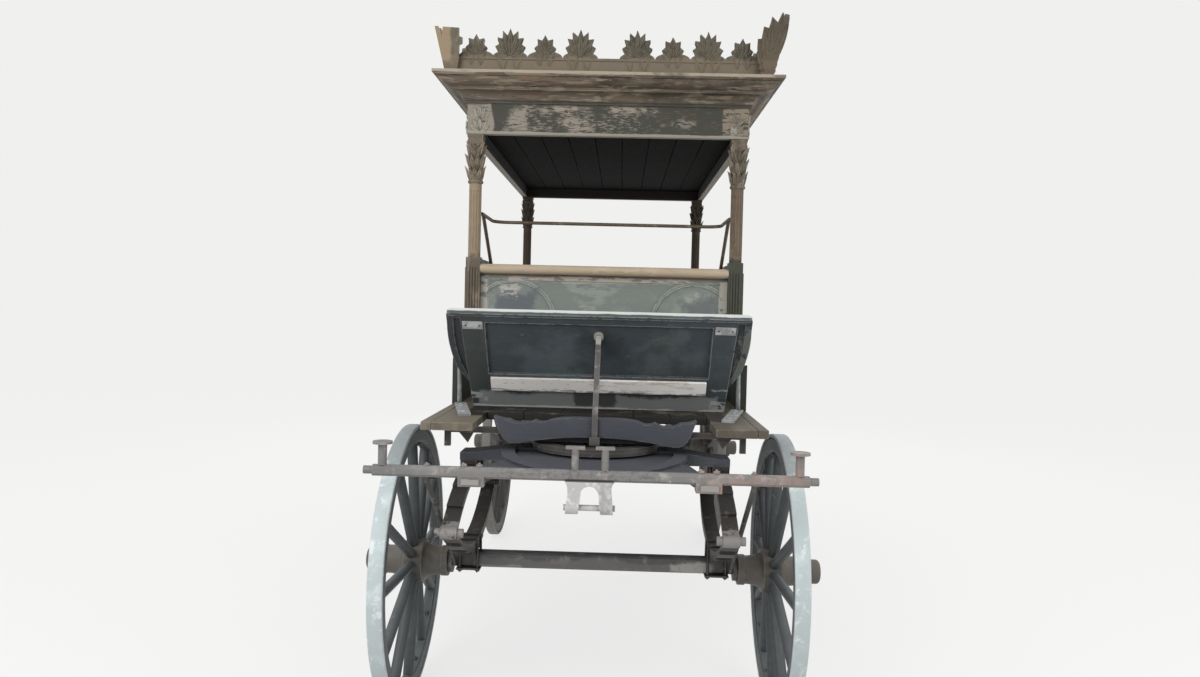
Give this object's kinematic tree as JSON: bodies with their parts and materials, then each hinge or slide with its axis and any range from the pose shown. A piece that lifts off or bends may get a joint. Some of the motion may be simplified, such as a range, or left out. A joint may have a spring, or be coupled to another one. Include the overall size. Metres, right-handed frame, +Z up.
{
  "type": "horse-drawn hearse",
  "caption": "Horse-drawn hearse: moulded canopy with cresting on columns over an open coffin body, driver's seat, toe board, elliptic springs and a steering fore-carriage on spoked wheels.",
  "frame": {"origin": "on the floor under the middle of the hearse's box", "axes": "+Z up, -Y towards the horses, +X the right side as seen from the front"},
  "size_m": [1.6, 3.7371, 2.6304],
  "materials": {
    "weathered_canopy_paint": "old flaking paint",
    "dark_boards": "old black paint",
    "slate_paint": "worn slate blue paint",
    "bare_wood": "worn bare timber",
    "purple_grey_paint": "faded grey purple paint",
    "old_iron": "dull forged iron",
    "axle_paint": "worn paint over iron",
    "worn_tyre_iron": "pale worn iron",
    "wheel_wood": "dusty slate paint"
  },
  "bodies": {
    "carriage": {"canopy_roof": "dark_boards", "canopy_cornice": "weathered_canopy_paint", "canopy_frieze": "weathered_canopy_paint", "canopy_ceiling": "dark_boards", "cresting_front": "weathered_canopy_paint", "cresting_sides": "weathered_canopy_paint", "cresting_rear": "weathered_canopy_paint", "corner_acroteria": "weathered_canopy_paint", "column_capitals": "weathered_canopy_paint", "column_shafts": "weathered_canopy_paint", "corner_posts": "dark_boards", "seat_board": "bare_wood", "seat_front_rail": "bare_wood", "seat_back_rail": "old_iron", "seat_box_panel": "slate_paint", "toe_board_frame": "slate_paint", "toe_board_panel": "slate_paint", "toe_board_cleat": "bare_wood", "toe_board_wings": "slate_paint", "toe_board_side_irons": "old_iron", "toe_board_stay": "old_iron", "footwell_sides": "dark_boards", "platform_board": "bare_wood", "platform_brackets": "old_iron", "body_side_left": "dark_boards", "body_side_right": "dark_boards", "body_sills": "dark_boards", "body_bearers": "dark_boards", "body_end_rail": "dark_boards", "coffin_deck": "bare_wood", "upper_bed": "purple_grey_paint", "upper_turntable_ring": "old_iron", "king_pin": "old_iron", "rear_springs": "old_iron", "rear_bolster": "dark_boards", "rear_axle": "axle_paint", "tailboard_hinges": "old_iron"},
    "tailboard": {"tailboard": "dark_boards"},
    "fore_carriage": {"lower_turntable_ring": "old_iron", "lower_bed": "purple_grey_paint", "futchells": "purple_grey_paint", "splinter_bar": "old_iron", "trace_bolts": "old_iron", "pole_clevis": "old_iron", "pole_pin": "old_iron", "front_springs": "old_iron", "front_axle": "axle_paint", "fore_stays": "old_iron"},
    "front_left_wheel": {"front_left_wheel_tyre": "worn_tyre_iron", "front_left_wheel_spokes_and_felloe": "wheel_wood", "front_left_wheel_nave": "wheel_wood"},
    "front_right_wheel": {"front_right_wheel_tyre": "worn_tyre_iron", "front_right_wheel_spokes_and_felloe": "wheel_wood", "front_right_wheel_nave": "wheel_wood"},
    "rear_left_wheel": {"rear_left_wheel_tyre": "worn_tyre_iron", "rear_left_wheel_spokes_and_felloe": "wheel_wood", "rear_left_wheel_nave": "wheel_wood"},
    "rear_right_wheel": {"rear_right_wheel_tyre": "worn_tyre_iron", "rear_right_wheel_spokes_and_felloe": "wheel_wood", "rear_right_wheel_nave": "wheel_wood"}
  },
  "joints": [
    {"name": "steering", "type": "hinge", "parent": "carriage", "child": "fore_carriage", "pos_m": [0, -1.28959, 0.85], "axis": [0, 0, 1], "range_deg": [-40, 40]},
    {"name": "front_left_wheel_spin", "type": "hinge", "parent": "fore_carriage", "child": "front_left_wheel", "pos_m": [-0.65, -1.28959, 0.48], "axis": [1, 0, 0], "continuous": true},
    {"name": "front_right_wheel_spin", "type": "hinge", "parent": "fore_carriage", "child": "front_right_wheel", "pos_m": [0.65, -1.28959, 0.48], "axis": [1, 0, 0], "continuous": true},
    {"name": "rear_left_wheel_spin", "type": "hinge", "parent": "carriage", "child": "rear_left_wheel", "pos_m": [-0.65, 1.06041, 0.56], "axis": [1, 0, 0], "continuous": true},
    {"name": "rear_right_wheel_spin", "type": "hinge", "parent": "carriage", "child": "rear_right_wheel", "pos_m": [0.65, 1.06041, 0.56], "axis": [1, 0, 0], "continuous": true},
    {"name": "tailboard_hinge", "type": "hinge", "parent": "carriage", "child": "tailboard", "pos_m": [0, 1.73041, 1.0394], "axis": [-1, 0, 0], "range_deg": [0, 175]}
  ]
}
